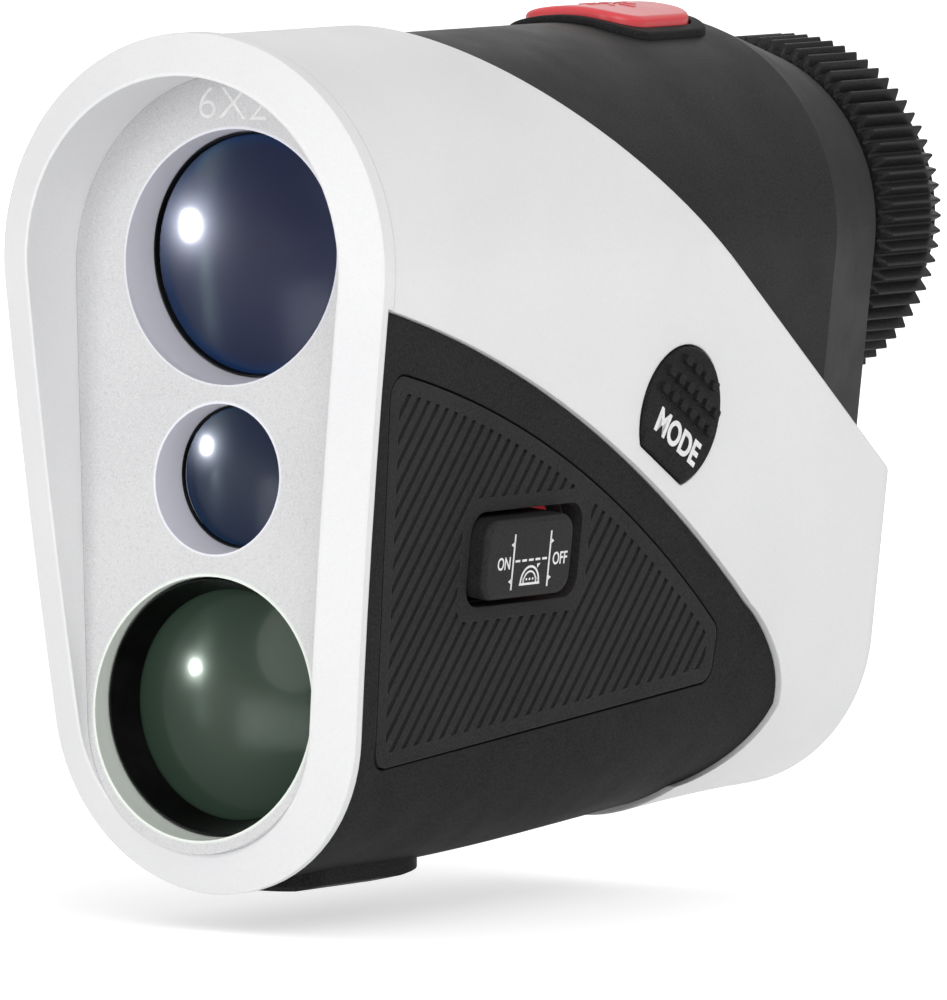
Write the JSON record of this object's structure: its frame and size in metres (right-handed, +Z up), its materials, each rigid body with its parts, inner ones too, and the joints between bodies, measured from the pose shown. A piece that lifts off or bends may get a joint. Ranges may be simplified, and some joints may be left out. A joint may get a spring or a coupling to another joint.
{
  "type": "laser rangefinder",
  "caption": "Upright monocular laser rangefinder with three sunk front windows, toothed diopter ring, top fire button, side mode key, slope slider and hinged battery door.",
  "frame": {"origin": "below the middle of the object, on the surface its foot stands on", "axes": "+Z up, windows face -Y, eyepiece faces +Y, the mode key and slope slider are on the +X flank"},
  "size_m": [0.039, 0.0982, 0.0733],
  "materials": {
    "white_plastic": "satin white moulded plastic",
    "black_plastic": "fine matte black moulded plastic",
    "grip_rubber": "soft-touch black overmould",
    "rib_rubber": "ribbed black rubber",
    "foot_rubber": "smooth black rubber",
    "silver_panel": "fine-grained silver paint",
    "lens_glass": "coated optical glass",
    "barrel_black": "black anodised",
    "ring_rubber": "moulded rubber teeth",
    "eyecup_rubber": "soft rubber",
    "red_plastic": "red moulded plastic",
    "key_rubber": "silicone key",
    "board_green": "solder mask on glass fibre",
    "chip_black": "moulded component bodies",
    "steel": "plain steel",
    "nickel": "nickel plated contact",
    "cell_wrap": "shrink-wrapped steel can",
    "prism_glass": "polished prism glass"
  },
  "bodies": {
    "housing": {"battery": "cell_wrap", "battery_tray": "black_plastic", "board_chips": "chip_black", "button_board": "board_green", "button_surround": "key_rubber", "contact_leaf": "nickel", "display_panel": "prism_glass", "door_pin": "steel", "emitter_barrel": "barrel_black", "emitter_lens": "lens_glass", "emitter_ring": "barrel_black", "eyepiece_tube": "barrel_black", "fire_switch": "chip_black", "foot_pad": "foot_rubber", "front_bulkhead": "black_plastic", "front_shell": "white_plastic", "grip": "grip_rubber", "keel_screws": "steel", "lanyard_bar": "steel", "laser_diode": "nickel", "lens_panel": "silver_panel", "main_board": "board_green", "mode_switch": "chip_black", "objective_barrel": "barrel_black", "objective_lens": "lens_glass", "objective_ring": "barrel_black", "prism": "prism_glass", "prism_housing": "black_plastic", "rear_bulkhead": "black_plastic", "receiver_barrel": "barrel_black", "receiver_lens": "lens_glass", "receiver_ring": "barrel_black", "receiver_sensor": "board_green", "rib_panel_left": "rib_rubber", "rib_panel_right": "rib_rubber", "slide_switch": "chip_black", "slope_flag": "red_plastic", "slope_tray": "black_plastic", "upper_housing": "black_plastic"},
    "fire_button": {"fire_button": "red_plastic"},
    "mode_button": {"mode_button": "key_rubber"},
    "slope_slider": {"slope_slider": "black_plastic"},
    "diopter": {"diopter_ring": "ring_rubber", "eyecup": "eyecup_rubber"},
    "eyepiece": {"eyepiece_cell": "barrel_black", "eye_lens": "lens_glass", "field_lens": "lens_glass", "cell_ring": "barrel_black"},
    "battery_door": {"battery_door": "white_plastic", "door_contact": "nickel"}
  },
  "joints": [
    {"name": "fire_press", "type": "slide", "parent": "housing", "child": "fire_button", "axis": [0, 0, -1], "range_m": [0, 0.0006], "stiffness_N_per_m": 2500},
    {"name": "mode_press", "type": "slide", "parent": "housing", "child": "mode_button", "axis": [-0.9943, 0, 0.1064], "range_m": [0, 0.0005], "stiffness_N_per_m": 2500},
    {"name": "slope_slide", "type": "slide", "parent": "housing", "child": "slope_slider", "axis": [0, 1, 0], "range_m": [0, 0.003]},
    {"name": "diopter_turn", "type": "hinge", "parent": "housing", "child": "diopter", "pos_m": [0, 0.04178, 0.054], "axis": [0, 1, 0], "range_deg": [-120, 120]},
    {"name": "eyepiece_focus", "type": "slide", "parent": "housing", "child": "eyepiece", "axis": [0, 1, 0], "range_m": [-0.0012, 0.0012]},
    {"name": "door_hinge", "type": "hinge", "parent": "housing", "child": "battery_door", "pos_m": [0, 0.03533, 0.0103], "axis": [-1, 0, 0], "range_deg": [0, 100]}
  ],
  "couplings": [
    {"joint": "eyepiece_focus", "follows": "diopter_turn", "m_per_rad": 0.00057}
  ]
}
